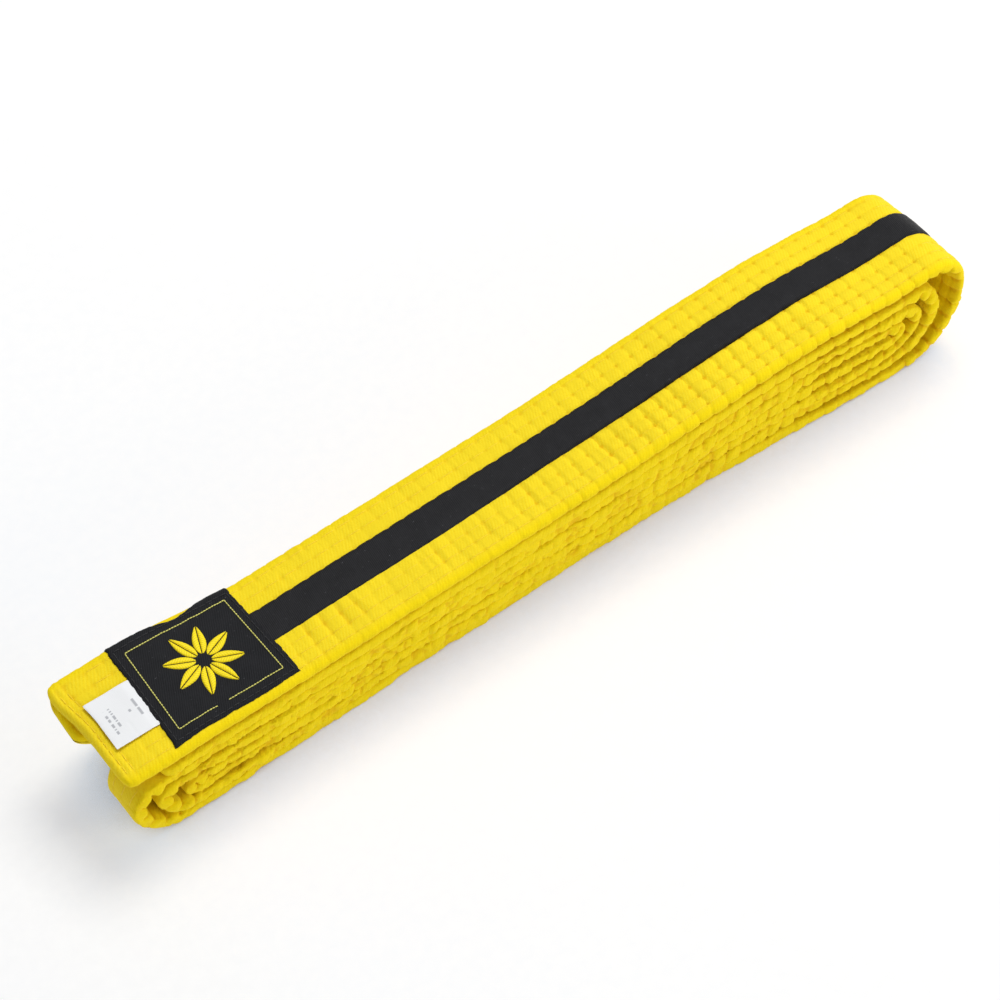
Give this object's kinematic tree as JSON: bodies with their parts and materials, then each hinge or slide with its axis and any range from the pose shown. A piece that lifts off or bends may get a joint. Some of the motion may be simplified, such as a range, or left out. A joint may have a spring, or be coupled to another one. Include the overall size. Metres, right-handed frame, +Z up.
{
  "type": "martial arts belt",
  "caption": "Quilted yellow cotton martial arts belt with a black centre stripe, sewn patch and size label, doubled and folded flat into a bundle.",
  "frame": {"origin": "middle of the folded bundle's underside, on the surface that it rests on", "axes": "+X along the bundle from the two loose tips to the outer fold, +Y across the belt's width, +Z up through the stacked runs"},
  "size_m": [0.3222, 0.04, 0.0445],
  "materials": {
    "cover_cotton": "matte cotton twill, quilted in lengthwise rows",
    "core_batting": "matte undyed cotton felt",
    "stripe_satin": "soft sheen of a black satin tape with fine cross ribs",
    "patch_cloth": "dull black woven patch cloth",
    "cover_thread": "yellow polyester sewing thread, slight sheen",
    "dark_thread": "black polyester sewing thread",
    "border_thread": "pale yellow embroidery thread",
    "emblem_thread": "yellow satin-stitch embroidery",
    "label_tape": "smooth white printed polyester tape"
  },
  "bodies": {
    "root": {"core_ply_back_wound": "core_batting", "core_ply_face_wound": "core_batting", "cover_fold_fourth": "cover_cotton", "cover_fold_outer": "cover_cotton", "cover_fold_second": "cover_cotton", "cover_fold_third": "cover_cotton", "cover_fold_tip_inner": "cover_cotton", "cover_fold_tip_middle": "cover_cotton", "cover_fold_tip_outer": "cover_cotton", "cover_run_1": "cover_cotton", "cover_run_2": "cover_cotton", "cover_run_3": "cover_cotton", "cover_run_4": "cover_cotton", "cover_run_5": "cover_cotton", "cover_run_6": "cover_cotton", "cover_run_7": "cover_cotton", "cover_run_8": "cover_cotton", "edge_stitch_far_wound": "cover_thread", "edge_stitch_near_wound": "cover_thread", "stripe_stitch_far_wound": "cover_thread", "stripe_stitch_near_wound": "cover_thread", "stripe_wound": "stripe_satin"},
    "top_end": {"core_ply_back_top_end": "core_batting", "core_ply_face_top_end": "core_batting", "cover_top_end": "cover_cotton", "edge_stitch_far_top_end": "cover_thread", "edge_stitch_near_top_end": "cover_thread", "patch": "patch_cloth", "patch_border": "border_thread", "patch_emblem": "emblem_thread", "patch_seam": "dark_thread", "stripe_stitch_far_top_end": "cover_thread", "stripe_stitch_near_top_end": "cover_thread", "stripe_top_end": "stripe_satin", "tip_stitch_top_end": "cover_thread"},
    "inner_end": {"core_ply_back_inner_end": "core_batting", "core_ply_face_inner_end": "core_batting", "cover_inner_end": "cover_cotton", "edge_stitch_far_inner_end": "cover_thread", "edge_stitch_near_inner_end": "cover_thread", "stripe_inner_end": "stripe_satin", "stripe_stitch_far_inner_end": "cover_thread", "stripe_stitch_near_inner_end": "cover_thread", "tip_stitch_inner_end": "cover_thread"},
    "label": {"size_label": "label_tape"}
  },
  "joints": [
    {"name": "top_end_lift", "type": "hinge", "parent": "root", "child": "top_end", "pos_m": [0.10894, 0, 0.04358], "axis": [0, 1, 0], "range_deg": [0, 60]},
    {"name": "inner_end_lift", "type": "hinge", "parent": "root", "child": "inner_end", "pos_m": [0.10295, 0, 0.03784], "axis": [0, 1, 0], "range_deg": [0, 60]},
    {"name": "label_flap", "type": "hinge", "parent": "top_end", "child": "label", "pos_m": [-0.1415, -0.0008, 0.0379], "axis": [0, 1, 0], "range_deg": [0, 110]}
  ],
  "couplings": [
    {"joint": "inner_end_lift", "follows": "top_end_lift", "ratio": 1}
  ]
}
